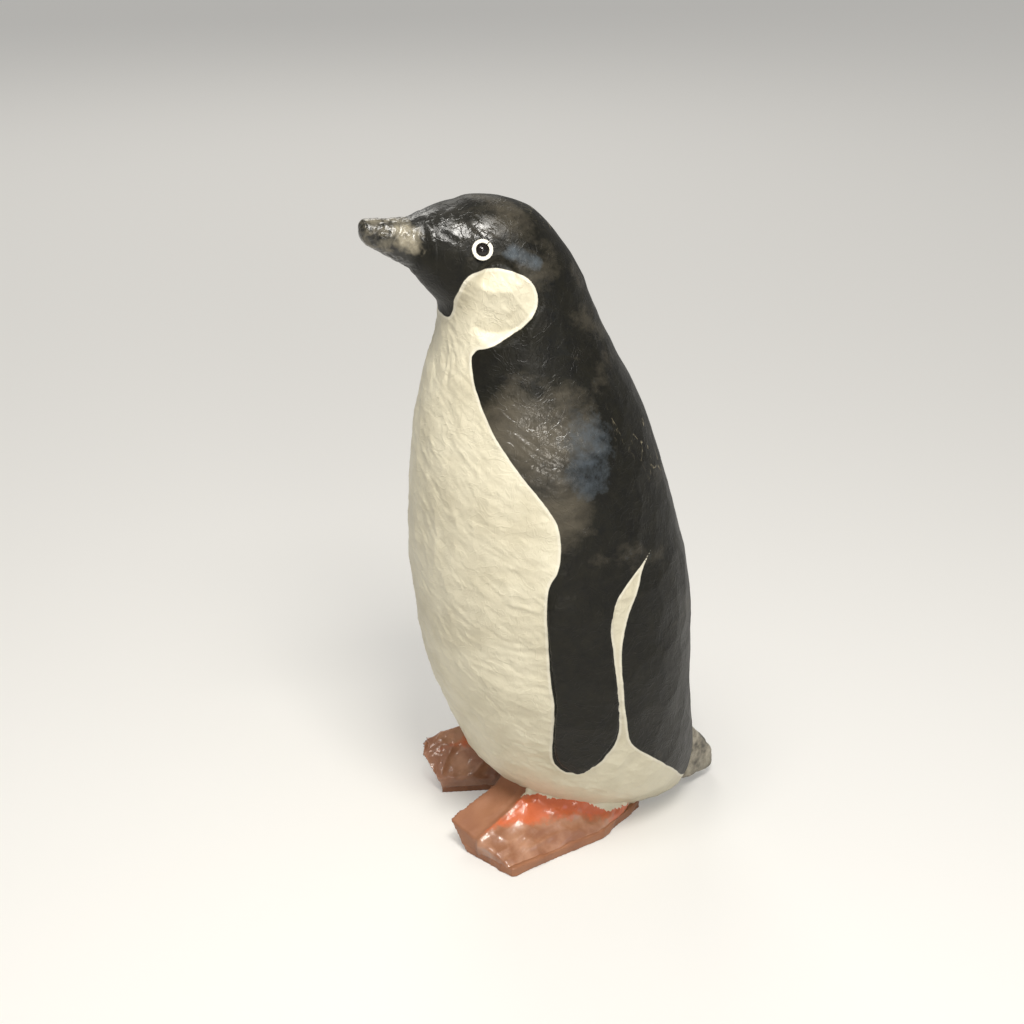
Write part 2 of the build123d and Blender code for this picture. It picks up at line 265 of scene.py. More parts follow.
# Edge of the white paint, brushed by hand as five strokes. Each point is the way round from the breast in
# degrees, the same on both sides, and the height above the ground in mm.
PAINT_STROKES = {
    "cheek": (
        (0, 417), (8, 416.6), (13, 418), (17, 422.5), (21, 429), (29, 438.5), (42, 452.5), (55, 455),
        (71, 454), (82, 450.5), (87.5, 444), (88.5, 436), (84, 426), (69.5, 414), (47, 402), (38, 399),
        (34, 394),
    ),
    "breast": (
        (34, 394), (35.5, 385), (44, 358.5), (53, 337), (61.5, 319), (69, 302), (74.5, 286), (75.6, 272),
        (74.6, 259), (72.5, 249), (68.5, 237), (67, 224),
    ),
    "flipper front": ((67, 224), (66.4, 213), (64.7, 163.7), (64.6, 137.5), (58, 92), (58.2, 81), (61, 74.5)),
    "flipper rear": (
        (61, 74.5), (66, 73.5), (71, 76), (78.5, 83), (86.5, 97), (90, 109), (91.4, 133), (91.3, 160),
        (91.3, 207), (93.2, 219), (99.5, 231), (109.5, 243), (117.6, 251),
    ),
    "back": (
        (117.6, 251), (110.5, 241), (105.6, 226), (100, 210), (96, 190), (94.5, 175), (94.2, 150),
        (94.8, 114), (96, 99), (101, 87), (108, 75.5), (115, 65), (126, 48), (140, 30), (180, 5),
    ),
}
PAINT_FLOOR = -10
STROKE_STEPS = 6


def paint_outline():
    """Closed outline of the white paint on one side, with each stroke drawn as an even curve."""
    outline = []
    for stroke in PAINT_STROKES.values():
        points = np.array([stroke[0], *stroke, stroke[-1]], float)
        for first, second, third, fourth in zip(points, points[1:], points[2:], points[3:]):
            for step in range(STROKE_STEPS):
                t = step / STROKE_STEPS
                along = (third - first) * t
                bend = (2 * first - 5 * second + 4 * third - fourth) * t**2
                twist = (3 * second - first - 3 * third + fourth) * t**3
                outline.append(second + (along + bend + twist) / 2)
    last = PAINT_STROKES["back"][-1]
    for corner in (last, (last[0], PAINT_FLOOR), (0, PAINT_FLOOR)):
        outline.append(np.array(corner, float))
    return np.array(outline)


def paint_edge_distance(places):
    """Distance in mm from each place to the edge of the white paint, positive inside the white."""
    rises = places[:, 2] / MM
    back = places[:, 1] - centre_behind(places[:, 2])
    turns = np.degrees(np.arctan2(np.abs(places[:, 0]), -back))
    degree_lengths = np.hypot(places[:, 0], back) / MM * math.pi / 180
    outline = paint_outline()
    nearest = np.full(len(places), np.inf)
    inside = np.zeros(len(places), bool)
    for start, end in zip(outline, np.roll(outline, -1, 0)):
        step_up = end[1] - start[1]
        if step_up:
            crosses = (start[1] > rises) != (end[1] > rises)
            crossing = start[0] + (rises - start[1]) / step_up * (end[0] - start[0])
            inside ^= crosses & (turns < crossing)
        along = (end[0] - start[0]) * degree_lengths
        from_start = (turns - start[0]) * degree_lengths
        length = np.maximum(along**2 + step_up**2, 1e-9)
        share = np.clip((from_start * along + (rises - start[1]) * step_up) / length, 0, 1)
        gap = np.hypot(from_start - share * along, rises - start[1] - share * step_up)
        on_middle_plane = start[0] == end[0] and start[0] in (0, 180)
        under_seat = start[1] == end[1] == PAINT_FLOOR
        if not (on_middle_plane or under_seat):
            nearest = np.minimum(nearest, gap)
    return np.where(inside, nearest, -nearest)


# The creases fall in the same places each time
noise.seed_set(7)

# Flat patches of paper: how far their outlines wander, and the height taken off to keep them on the skin
FACET_BEND_SIZE = 1.7
FACET_BEND = 0.35
FACET_MIDDLE = 0.3

# Folds: how far they are drawn out and bent, and how steep they are
FOLD_STRETCH = 0.66
FOLD_BEND_SIZE = 0.45
FOLD_BEND = 1.1
FOLD_TOP = 0.5
FOLD_STEEPNESS = 2.4


def lump_height(place, size):
    """Soft unevenness of the form, from -1 to 1."""
    return noise.noise(place / size)


def facet_height(place, size):
    """How far the rims of flat patches of paper of a given size stand out, from -0.3 to about 0.7."""
    bend = noise.noise_vector(place / (size * FACET_BEND_SIZE)) * FACET_BEND
    distances = noise.voronoi(place / size + bend)[0]
    return distances[0] ** 2 - FACET_MIDDLE


def fold_height(place, spacing, stretch):
    """Sharp folds in pasted paper, from about -1 to 0.5, drawn out along a direction."""
    along = place.dot(stretch) * stretch
    squeezed = (place - along * FOLD_STRETCH) / spacing
    bent = squeezed + noise.noise_vector(squeezed * FOLD_BEND_SIZE) * FOLD_BEND
    return FOLD_TOP - FOLD_STEEPNESS * abs(noise.noise(bent))


def heights(places, shape, *sizes):
    """Relief of one kind at each place."""
    return np.array([shape(Vector(place), *sizes) for place in places])


SPOT_MIDDLE = 0.2


def nearness(places, spots):
    """1 at some spots, 0 outside their radius. Spots are x, y, z and radius in mm, alike on both sides."""
    share = np.zeros(len(places))
    for across, behind, rise, radius in spots:
        sideways = np.abs(places[:, 0]) / MM - across
        gaps = np.stack([sideways, places[:, 1] / MM - behind, places[:, 2] / MM - rise])
        near = 1 - smooth_step(np.linalg.norm(gaps, axis=0), radius * SPOT_MIDDLE, radius)
        share = np.maximum(share, near)
    return share


# Relief of the paper from the slow unevenness of the form down to fine crinkles. It is lower under the black,
# which was laid over smoother paper, and calm on the crown.
LUMP_SIZE = 62 * MM
LUMP_HEIGHT = 1.5 * MM
PATCH_SIZE = 25 * MM
PATCH_HEIGHT = 1.4 * MM
CHEEK_PATCH_HEIGHT = 1.0 * MM
DIMPLE_SIZE = 10 * MM
DIMPLE_HEIGHT = 0.8 * MM
BLACK_DIMPLE_HEIGHT = 0.2 * MM
SLANTED_SPACING = 11 * MM
LEVEL_SPACING = 8.8 * MM
FOLD_HEIGHT = 0.62 * MM
BLACK_FOLD_HEIGHT = 0.186 * MM
FOLDED_PATCH_SIZE = 24.8 * MM
FOLDED_PATCH_PLACE = 0.3
FOLDED_PATCH_EDGE = (-0.25, 0.35)
FINE_SPACING = 5.5 * MM
FINE_HEIGHT = 0.3 * MM
CRINKLE_SIZE = 5.5 * MM
CRINKLE_HEIGHT = 0.25 * MM
CRINKLE_FOLD_SPACING = 6.6 * MM
CRINKLE_FOLD_HEIGHT = 0.6 * MM
NECK_SPACING = 9 * MM
NECK_HEIGHT = 0.5 * MM
CHEEK_SPACING = 7 * MM
CHEEK_HEIGHT = 0.9 * MM
CROWN_CALM = 0.85
CALM_RISES = (462 * MM, 478 * MM)
CHEEK_RISES = (392 * MM, 402 * MM)

# Ways the folds run on the skin rolled out flat, and on the cheek itself
SLANTED_FOLDS = Vector((0.8, 0, -0.6)).normalized()
LEVEL_FOLDS = Vector((1, 0, -0.15)).normalized()
UPRIGHT_FOLDS = Vector((0.3, 0, -1)).normalized()
CRINKLE_FOLDS = Vector((0.9, 0, -0.4)).normalized()
CHEEK_FOLDS = Vector((0.24, 0.76, 0.6)).normalized()
UNROLL_RADIUS = 85 * MM

# Ways round from the breast in radians: folds turn from slanted to level on the sides and end before the back
SIDE_TURNS = (0.5, 1.0)
BACK_TURNS = (2.6, 3.1)

# Spots where the varnished paper is finely crinkled, on the shoulders and along the brow, and where it is
# folded, on the neck and under the cheek
CRINKLED_SPOTS = (
    (80, -38, 336, 44), (74, -52, 345, 34), (12, -104, 484, 22), (21, -87, 483, 22), (30, -70, 479, 16),
)
NECK_FOLD_SPOTS = ((18, -87, 387, 26), (30, -81, 388, 24))
CHEEK_FOLD_SPOTS = ((52, -48, 415, 20), (46, -62, 406, 14))


def unrolled(places):
    """Places on the skin rolled out flat, with nothing for depth, and their ways round from the breast."""
    turns = np.arctan2(places[:, 0], centre_behind(places[:, 2]) - places[:, 1])
    flat_places = np.stack([turns * UNROLL_RADIUS, np.zeros(len(places)), places[:, 2]], axis=1)
    return flat_places, np.abs(turns)


def paper_relief(places, white):
    """Height of the pasted paper over the plain form, in metres, where white is 1 under white paint."""
    flat_places, turns = unrolled(places)
    calm = 1 - CROWN_CALM * smooth_step(places[:, 2], *CALM_RISES)
    on_cheek = white * smooth_step(places[:, 2], *CHEEK_RISES)
    relief = heights(places, lump_height, LUMP_SIZE) * LUMP_HEIGHT * calm
    patch_heights = between(PATCH_HEIGHT, CHEEK_PATCH_HEIGHT, on_cheek)
    relief += heights(places, facet_height, PATCH_SIZE) * patch_heights * calm
    relief += heights(places, facet_height, DIMPLE_SIZE) * between(BLACK_DIMPLE_HEIGHT, DIMPLE_HEIGHT, white)

    slanted = heights(flat_places, fold_height, SLANTED_SPACING, SLANTED_FOLDS)
    level = heights(flat_places, fold_height, LEVEL_SPACING, LEVEL_FOLDS)
    folds = between(slanted, level, smooth_step(turns, *SIDE_TURNS))
    folded_patches = heights(places + FOLDED_PATCH_PLACE, lump_height, FOLDED_PATCH_SIZE)
    folds *= smooth_step(folded_patches, *FOLDED_PATCH_EDGE) * (1 - smooth_step(turns, *BACK_TURNS))
    relief += folds * between(BLACK_FOLD_HEIGHT, FOLD_HEIGHT, white)
    relief += heights(flat_places, fold_height, FINE_SPACING, SLANTED_FOLDS) * FINE_HEIGHT * white

    on_neck = nearness(places, NECK_FOLD_SPOTS)
    relief += heights(flat_places, fold_height, NECK_SPACING, UPRIGHT_FOLDS) * NECK_HEIGHT * on_neck
    under_cheek = nearness(places, CHEEK_FOLD_SPOTS)
    relief += heights(places, fold_height, CHEEK_SPACING, CHEEK_FOLDS) * CHEEK_HEIGHT * under_cheek
    crinkles = heights(places, facet_height, CRINKLE_SIZE) * CRINKLE_HEIGHT
    crinkles += heights(flat_places, fold_height, CRINKLE_FOLD_SPACING, CRINKLE_FOLDS) * CRINKLE_FOLD_HEIGHT
    return relief + crinkles * nearness(places, CRINKLED_SPOTS)


# The white was cut in along the black with a full brush, which left a bead of paint. Its middle and half
# width are in mm, from the edge of the white inwards.
PAINT_SOFTNESS = 2
BEAD_HEIGHT = 0.2 * MM
BEAD_MIDDLE = 1.0
BEAD_HALF_WIDTH = 1.3

edge_distance = paint_edge_distance(places)
under_white = smooth_step(edge_distance, -PAINT_SOFTNESS, PAINT_SOFTNESS)
relief = paper_relief(places, under_white)
relief += np.exp(-(((edge_distance - BEAD_MIDDLE) / BEAD_HALF_WIDTH) ** 2)) * BEAD_HEIGHT
places += directions * relief[:, None]
move_points(body.data, places)

# Spots of wear and tint in the black paint, some of them also painted sheen and painted reflection: x, y, z
# and radius in mm
SCUFFED_SPOTS = ((60, 46, 326, 26), (57, 54, 309, 24), (8, -16, 483, 22), (5, -4, 470, 20), (70, 30, 345, 26))
BROWN_TINT_AND_SHEEN_SPOTS = ((74, -52, 345, 62), (88, -40, 290, 44), (82, -28, 348, 48))
# Dust on the head, which on the crown also stands for a painted sheen from above
DUST_AND_SHEEN_SPOTS = ((12, -60, 490, 55), (35, -40, 455, 50), (40, 20, 420, 60))
DUST_AND_SHEEN_SHARE = 0.4
# Blue tint behind the eyes, and on the shoulders a painted reflection of a blue window
BLUE_TINT_AND_REFLECTION_SPOTS = (
    (83, -9, 338, 36), (87, -12, 318, 32), (40, -49, 466, 11), (43, -42, 463, 11), (45, -35, 460, 11),
)

# Pale slanting patch on both sides of the beak's root, a painted highlight where a flat of the wound paper
# catches the lamp, and the worn tip. The patch comes and goes between these places behind the origin and
# these heights, in mm.
HIGHLIGHT_FROM = (-134, -119)
HIGHLIGHT_TO = (-114, -98)
HIGHLIGHT_LOW = (461, 472)
HIGHLIGHT_HIGH = (480, 494)
HIGHLIGHT_MIDDLE = -115
HIGHLIGHT_SLOPE = 0.3
TIP_TO = (-128, -116)
TIP_WEAR = 0.52


def wear_and_highlight_share(places):
    """Share of pale paint, from 0 to 1 at the beak's root: a painted highlight there and wear on the tip."""
    behind, rise = places[:, 1] / MM, places[:, 2] / MM
    slanted = rise + HIGHLIGHT_SLOPE * (behind - HIGHLIGHT_MIDDLE)
    along = smooth_step(behind, *HIGHLIGHT_FROM) * (1 - smooth_step(behind, *HIGHLIGHT_TO))
    upward = smooth_step(slanted, *HIGHLIGHT_LOW) * (1 - smooth_step(slanted, *HIGHLIGHT_HIGH))
    on_tip = TIP_WEAR * (1 - smooth_step(behind, *TIP_TO))
    return np.maximum(along * upward, on_tip)


def store(mesh, name, values):
    """Keeps a number for each point of a mesh, for its material to read."""
    attribute = mesh.attributes.new(name, "FLOAT", "POINT")
    attribute.data.foreach_set("value", np.asarray(values, np.float32))


def store_paint(mesh, places, edge_distance, crinkled):
    """Keeps what the black and white paint needs to know at each point."""
    store(mesh, "paint_edge", edge_distance)
    store(mesh, "crinkled", crinkled)
    store(mesh, "wear_and_highlight", wear_and_highlight_share(places))
    store(mesh, "scuffed", nearness(places, SCUFFED_SPOTS))
    # Brown tint and dust, on the shoulders and crown partly a painted sheen
    dusty = DUST_AND_SHEEN_SHARE * nearness(places, DUST_AND_SHEEN_SPOTS)
    store(mesh, "brown", np.maximum(nearness(places, BROWN_TINT_AND_SHEEN_SPOTS), dusty))
    # Blue tint, on the shoulders a painted reflection
    store(mesh, "blue", nearness(places, BLUE_TINT_AND_REFLECTION_SPOTS))


store_paint(body.data, places, edge_distance, nearness(places, CRINKLED_SPOTS))


def hex_colour(text):
    """Linear colour of an sRGB hex value."""
    shares = [int(text[start:start + 2], 16) / 255 for start in (1, 3, 5)]
    return tuple(s / 12.92 if s <= 0.04045 else ((s + 0.055) / 1.055) ** 2.4 for s in shares) + (1.0,)


def new_material(name):
    """Material and its shader."""
    material = bpy.data.materials.new(name)
    material.use_nodes = True
    return material, material.node_tree.nodes["Principled BSDF"]


def feed(material, node, inputs):
    """Gives sockets of a node a value or another node's output."""
    for socket, value in inputs.items():
        if isinstance(value, bpy.types.NodeSocket):
            material.node_tree.links.new(value, node.inputs[socket])
        else:
            node.inputs[socket].default_value = value


def add_node(material, kind, inputs, output=0, **settings):
    """Adds a node to a material, sets it, feeds its sockets and returns one of its outputs."""
    node = material.node_tree.nodes.new("ShaderNode" + kind)
    for name, value in settings.items():
        setattr(node, name, value)
    feed(material, node, inputs)
    return node.outputs[output]


# A Mix node for colours: the sockets of its share and its two colours, then its output and its setting
SHARE, FIRST, SECOND = 0, 6, 7
COLOURS = {"output": 2, "data_type": "RGBA"}

# House paint over paper, varnished: cream white and soft black with brush marks, a thicker white line where
# the white was cut in, brown and blue tint in the black that is partly painted sheen and painted reflection,
# pale wear, a painted highlight at the beak's root and a crinkled satin shine.
WOBBLE_SIZE = 14 * MM
WOBBLE_REACH = 1.6
STAIN_SIZE = 45 * MM
MOTTLE_SIZE = 11 * MM
TINT_AND_SHEEN_CLOUD_SIZE = 38 * MM
WEAR_AND_HIGHLIGHT_SIZE = 6 * MM
SCRATCH_SIZE = 22 * MM
SPECK_SPACING = 43 * MM

paint, shader = new_material("varnished house paint on paper")
where = add_node(paint, "TexCoord", {}, output="Object")
edge, crinkled, wear_and_highlight, scuffed, brown, blue = (
    add_node(paint, "Attribute", {}, output="Fac", attribute_name=name)
    for name in ("paint_edge", "crinkled", "wear_and_highlight", "scuffed", "brown", "blue")
)
wobble = add_node(paint, "TexNoise", {"Vector": where, "Scale": 1 / WOBBLE_SIZE, "Detail": 3.0})
wobbled = add_node(paint, "Math", {0: wobble, 1: WOBBLE_REACH, 2: edge}, operation="MULTIPLY_ADD")
is_white = add_node(paint, "MapRange", {"Value": wobbled, "From Min": 0.6, "From Max": 1.0})
cut_in = add_node(paint, "MapRange", {"Value": wobbled, "From Min": 3.4, "From Max": 2.2})

# Cream white, greyer in soft patches
stain_pattern = {"Vector": where, "Scale": 1 / STAIN_SIZE, "Detail": 6.0, "Roughness": 0.6}
stain = add_node(paint, "TexNoise", stain_pattern)
stained = add_node(paint, "MapRange", {"Value": stain, "From Min": 0.4, "From Max": 0.66})
creams = {SHARE: stained, FIRST: hex_colour("#E3DCC4"), SECOND: hex_colour("#D3CBB2")}
white = add_node(paint, "Mix", creams, **COLOURS)
white = add_node(paint, "Mix", {SHARE: cut_in, FIRST: white, SECOND: hex_colour("#E8E2CF")}, **COLOURS)

# Soft black, mottled, with clouds of brown tint that on the shoulders and crown is also a painted warm sheen,
# and of blue tint that on the shoulders is a painted reflection of a window
mottle_pattern = {"Vector": where, "Scale": 1 / MOTTLE_SIZE, "Detail": 6.0, "Roughness": 0.7}
mottle = add_node(paint, "TexNoise", mottle_pattern)
mottled = add_node(paint, "MapRange", {"Value": mottle, "From Min": 0.35, "From Max": 0.75})
blacks = {SHARE: mottled, FIRST: hex_colour("#0D0C07"), SECOND: hex_colour("#1E1C12")}
black = add_node(paint, "Mix", blacks, **COLOURS)
level = add_node(paint, "Mapping", {"Vector": where, "Scale": (1.0, 0.8, 1.3)})
tint_and_sheen_cloud_pattern = {"Vector": level, "Scale": 1 / TINT_AND_SHEEN_CLOUD_SIZE, "Detail": 8.0, "Roughness": 0.66}
tint_and_sheen_cloud = add_node(paint, "TexNoise", tint_and_sheen_cloud_pattern)
browner = add_node(paint, "Math", {0: tint_and_sheen_cloud, 1: 2.6, 2: brown}, operation="MULTIPLY_ADD")
brown_tint_and_sheen_share = add_node(paint, "MapRange", {"Value": browner, "From Min": 1.6, "From Max": 2.4})
bluer = add_node(paint, "Math", {0: mottle, 1: 2.0, 2: blue}, operation="MULTIPLY_ADD")
bluer = add_node(paint, "Math", {0: tint_and_sheen_cloud, 1: 2.0, 2: bluer}, operation="MULTIPLY_ADD")
blue_tint_and_reflection_share = add_node(paint, "MapRange", {"Value": bluer, "From Min": 2.5, "From Max": 3.4, "To Max": 0.8})

# Pale wear on the beak's tip and a painted highlight at its root, short thin scuffs on the back and crown,
# and flecks of white paint
wear_and_highlight_pattern = {"Vector": where, "Scale": 1 / WEAR_AND_HIGHLIGHT_SIZE, "Detail": 5.0, "Distortion": 0.5}
wear_and_highlight_noise = add_node(paint, "TexNoise", wear_and_highlight_pattern)
wear_and_highlight_edge = add_node(paint, "Math", {0: wear_and_highlight_noise, 1: 1.4, 2: wear_and_highlight}, operation="MULTIPLY_ADD")
pale_wear_and_highlight_share = add_node(paint, "MapRange", {"Value": wear_and_highlight_edge, "From Min": 1.06, "From Max": 1.85})
upright = add_node(paint, "Mapping", {"Vector": where, "Scale": (1.0, 1.0, 0.4)})
scratch_pattern = {"Vector": upright, "Scale": 1 / SCRATCH_SIZE, "Detail": 4.0, "Distortion": 0.6}
scratch = add_node(paint, "TexNoise", scratch_pattern)
scratch_gap = add_node(paint, "Math", {0: scratch, 1: 0.5}, operation="SUBTRACT")
scratch_gap = add_node(paint, "Math", {0: scratch_gap}, operation="ABSOLUTE")
scratch_range = {"Value": scratch_gap, "From Min": 0.02, "From Max": 0.006, "To Max": 0.8}
scratch_line = add_node(paint, "MapRange", scratch_range)
dashes = add_node(paint, "MapRange", {"Value": wear_and_highlight_noise, "From Min": 0.5, "From Max": 0.58})
scuff_dashes = add_node(paint, "Math", {0: scratch_line, 1: dashes}, operation="MULTIPLY")
scuff_share = add_node(paint, "Math", {0: scuff_dashes, 1: scuffed}, operation="MULTIPLY")
speck = add_node(paint, "TexVoronoi", {"Vector": where, "Scale": 1 / SPECK_SPACING}, output="Distance")
is_speck = add_node(paint, "MapRange", {"Value": speck, "From Min": 0.03, "From Max": 0.024})

# Each tint of the black lies over the ones before it, and the white over them all
for share, tint in (
    # Brown tint, partly a painted warm sheen on the shoulders and crown
    (brown_tint_and_sheen_share, "#565044"),
    # Blue tint, on the shoulders a painted reflection of a window
    (blue_tint_and_reflection_share, "#505961"),
    # Pale wear on the beak's tip and a painted highlight at its root
    (pale_wear_and_highlight_share, "#978F7C"),
    (scuff_share, "#8F866F"),
    (is_speck, "#D8D3C4"),
):
    black = add_node(paint, "Mix", {SHARE: share, FIRST: black, SECOND: hex_colour(tint)}, **COLOURS)
colour = add_node(paint, "Mix", {SHARE: is_white, FIRST: black, SECOND: white}, **COLOURS)

# Brush hair, fine crinkles and thin creases in the paint film, drawn about twice as coarse as real ones
HAIR_SIZE = 4.5 * MM
CREASE_SIZE = 17 * MM
CREASE_WEIGHT = 0.6
FILM_DEPTH = 0.6 * MM

hair_pattern = {"Vector": where, "Scale": 1 / HAIR_SIZE, "Detail": 5.0, "Distortion": 0.8}
hair = add_node(paint, "TexNoise", hair_pattern)
crease_pattern = {"Vector": where, "Scale": 1 / CREASE_SIZE, "Detail": 2.5, "Distortion": 1.4}
crease = add_node(paint, "TexNoise", crease_pattern)
crease_gap = add_node(paint, "Math", {0: crease, 1: 0.5}, operation="SUBTRACT")
crease_gap = add_node(paint, "Math", {0: crease_gap}, operation="ABSOLUTE")
crease_range = {"Value": crease_gap, "From Max": 0.035, "To Min": 1.0, "To Max": 0.0}
crease_line = add_node(paint, "MapRange", crease_range)
raised = add_node(paint, "Math", {0: crease_line, 1: wobble}, operation="MULTIPLY")
raised = add_node(paint, "Math", {0: raised, 1: CREASE_WEIGHT, 2: hair}, operation="MULTIPLY_ADD")
film = add_node(paint, "Bump", {"Height": raised, "Distance": FILM_DEPTH, "Strength": 0.8})
satin_range = {"Value": stain, "From Min": 0.3, "From Max": 0.7, "To Min": 0.4, "To Max": 0.58}
satin = add_node(paint, "MapRange", satin_range)
roughness = add_node(paint, "Math", {0: crinkled, 1: -0.14, 2: satin}, operation="MULTIPLY_ADD")
coat = add_node(paint, "Math", {0: is_white, 1: 0.2, 2: 0.06}, operation="MULTIPLY_ADD")
coat = add_node(paint, "Math", {0: crinkled, 1: 0.94, 2: coat}, operation="MULTIPLY_ADD")
feed(
    paint,
    shader,
    {
        "Base Color": colour,
        "Roughness": roughness,
        "Specular IOR Level": 0.26,
        "Normal": film,
        "Coat Weight": coat,
        "Coat Roughness": 0.22,
        "Coat Normal": film,
    },
)
body.data.materials.append(paint)
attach(body, "root")
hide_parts("body_shell_left", "body_shell_right")

# Seam band, floor board and dowels inside the body
# A pasted strip of newsprint bridges the seam, a plywood board glued across the belly holds the legs, and
# turned dowels tie the feet to the board and the beak to the muzzle. None of it shows from outside.
PULP_SIZE = 9 * MM
PULP_DEPTH = 0.4 * MM
PLY_THICKNESS = 3 * MM
GRAIN_WIDTH = 6.25 * MM
GRAIN_LENGTH = 83.3333 * MM
FLECK_WIDTH = 1.42857 * MM
FLECK_LENGTH = 16.6667 * MM

# Newsprint pasted in strips and left bare: dull warm grey, cloudy with pulp and ink, and wrinkled
newsprint, shader = new_material("bare pasted newsprint")
where = add_node(newsprint, "TexCoord", {}, output="Object")
pulp = add_node(newsprint, "TexNoise", {"Vector": where, "Scale": 1 / PULP_SIZE, "Detail": 6.0})
greys = {SHARE: pulp, FIRST: hex_colour("#B9B1A0"), SECOND: hex_colour("#938B7C")}
colour = add_node(newsprint, "Mix", greys, **COLOURS)
wrinkle = add_node(newsprint, "Bump", {"Height": pulp, "Distance": PULP_DEPTH})
feed(newsprint, shader, {"Base Color": colour, "Roughness": 0.85, "Normal": wrinkle})

# Sawn birch plywood: pale long grain on its faces and darker glue lines between the plies at its edge
plywood, shader = new_material("birch plywood")
where = add_node(plywood, "TexCoord", {}, output="Object")
ply_pattern = {"Vector": where, "Scale": 0.5 / PLY_THICKNESS}
plies = add_node(plywood, "TexWave", ply_pattern, output="Fac", bands_direction="Z")
grain_scale = (1 / GRAIN_WIDTH, 1 / GRAIN_LENGTH, 1 / GRAIN_WIDTH)
along_grain = add_node(plywood, "Mapping", {"Vector": where, "Scale": grain_scale})
grain = add_node(plywood, "TexNoise", {"Vector": along_grain, "Scale": 1.0, "Detail": 4.0})
birches = {SHARE: grain, FIRST: hex_colour("#D9BE94"), SECOND: hex_colour("#B8935F")}
face = add_node(plywood, "Mix", birches, **COLOURS)
colour = add_node(plywood, "Mix", {SHARE: plies, FIRST: face, SECOND: hex_colour("#A67C4C")}, **COLOURS)
feed(plywood, shader, {"Base Color": colour, "Roughness": 0.7})

# Turned beech: pinkish tan with short darker flecks along the dowel, smooth from the lathe
beech, shader = new_material("turned beech dowel")
where = add_node(beech, "TexCoord", {}, output="Object")
fleck_scale = (1 / FLECK_WIDTH, 1 / FLECK_WIDTH, 1 / FLECK_LENGTH)
along_dowel = add_node(beech, "Mapping", {"Vector": where, "Scale": fleck_scale})
fleck = add_node(beech, "TexNoise", {"Vector": along_dowel, "Scale": 1.0, "Detail": 3.0})
tans = {SHARE: fleck, FIRST: hex_colour("#D8B184"), SECOND: hex_colour("#B4835A")}
colour = add_node(beech, "Mix", tans, **COLOURS)
feed(beech, shader, {"Base Color": colour, "Roughness": 0.55})

for node, material in (
    ("seam_band", newsprint),
    ("floor_board", plywood),
    ("leg_dowel_left", beech),
    ("leg_dowel_right", beech),
    ("beak_peg", beech),
):
    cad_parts[node].data.materials.clear()
    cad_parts[node].data.materials.append(material)

# Flippers
# Long leaves of thick card glued flat on the sides, papered over at the shoulder so that no edge shows there
# and left with a soft edge below, then painted black with the back.
FLIPPER_SPACING = 1.2 * MM
FLIPPER_ROUNDING = 4
SHOULDER_RISES = (208 * MM, 244 * MM)
SHOULDER_SINK = 4.5 * MM
ALL_BLACK = -20.0


def copied(node):
    """Unpainted copy of a CAD node's mesh, to be worked on."""
    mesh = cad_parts[node].data.copy()
    mesh.materials.clear()
    return mesh


for side, name in ((1, "left"), (-1, "right")):
    node = "flipper_" + name
    flipper = evened("flipper_leaf_" + name, copied(node), FLIPPER_SPACING, FLIPPER_ROUNDING)
    places, directions = points_of(flipper.data)
    places += directions * paper_relief(places, np.zeros(len(places)))[:, None]
    places[:, 0] -= side * SHOULDER_SINK * smooth_step(places[:, 2], *SHOULDER_RISES)
    move_points(flipper.data, places)
    store_paint(flipper.data, places, np.full(len(places), ALL_BLACK), nearness(places, CRINKLED_SPOTS))
    flipper.data.materials.append(paint)
    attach(flipper, "root")
    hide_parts(node)

# Beak
# A tapered core on a peg, wound with narrow strips of pasted paper whose edges stand out as slanting ridges
# and whose last turn laps onto the muzzle. The black paint on it is worn and dusty, with a painted highlight
# at its root.
BEAK_RINGS = 110
BEAK_POINTS = 110
BEAK_SPACING = 0.7 * MM
BEAK_ROUNDING = 2
ROOT_MIDDLE = 468.5 * MM
TIP_MIDDLE = 481.5 * MM
TIP_HALF_WIDTH = 6.5 * MM
TIP_HALF_HEIGHT = 7.5 * MM
BLUNT_FROM = 0.86
BLUNT_LEAST = 0.04

# The lap follows the muzzle's skin, a little proud of it, and sinks under it at its end
BEAK_LAP = 13 * MM
LAP_RISE = 0.5 * MM
LAP_SINK = 1.5 * MM
LAP_SINK_FROM = 0.55
MUZZLE_ALONG = (-4 * MM, 3 * MM)
MUZZLE_INSET = 3 * MM
MUZZLE_SEARCH = 1.5

# Wound strips, lower towards the tip and uneven by a share of their width
STRIP_WIDTH = 7.5 * MM
STRIP_EDGE = 0.45 * MM
STRIP_SLANT = 0.9
STRIP_UNEVENNESS = 0.4
STRIP_UNEVEN_LENGTH = 0.2
STRIP_FADE = 1.2

# Folds in the strips and the shine of the beak, from the joint with the muzzle forwards
BEAK_FOLD_SPACING = 4.2 * MM
BEAK_FOLD_HEIGHT = 0.5 * MM
BEAK_FOLDS = Vector((0.1, 0.35, 0.9)).normalized()
FOLDS_AHEAD = (-3 * MM, 5 * MM)
SHINE_AHEAD = (0, 12 * MM)
BEAK_SHINE = 0.85

body_tree = search_tree(body.data)
beak_low, beak_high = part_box("beak")
beak_length = beak_high.y - beak_low.y
root_half_width = beak_high.x
root_half_height = ROOT_MIDDLE - beak_low.z


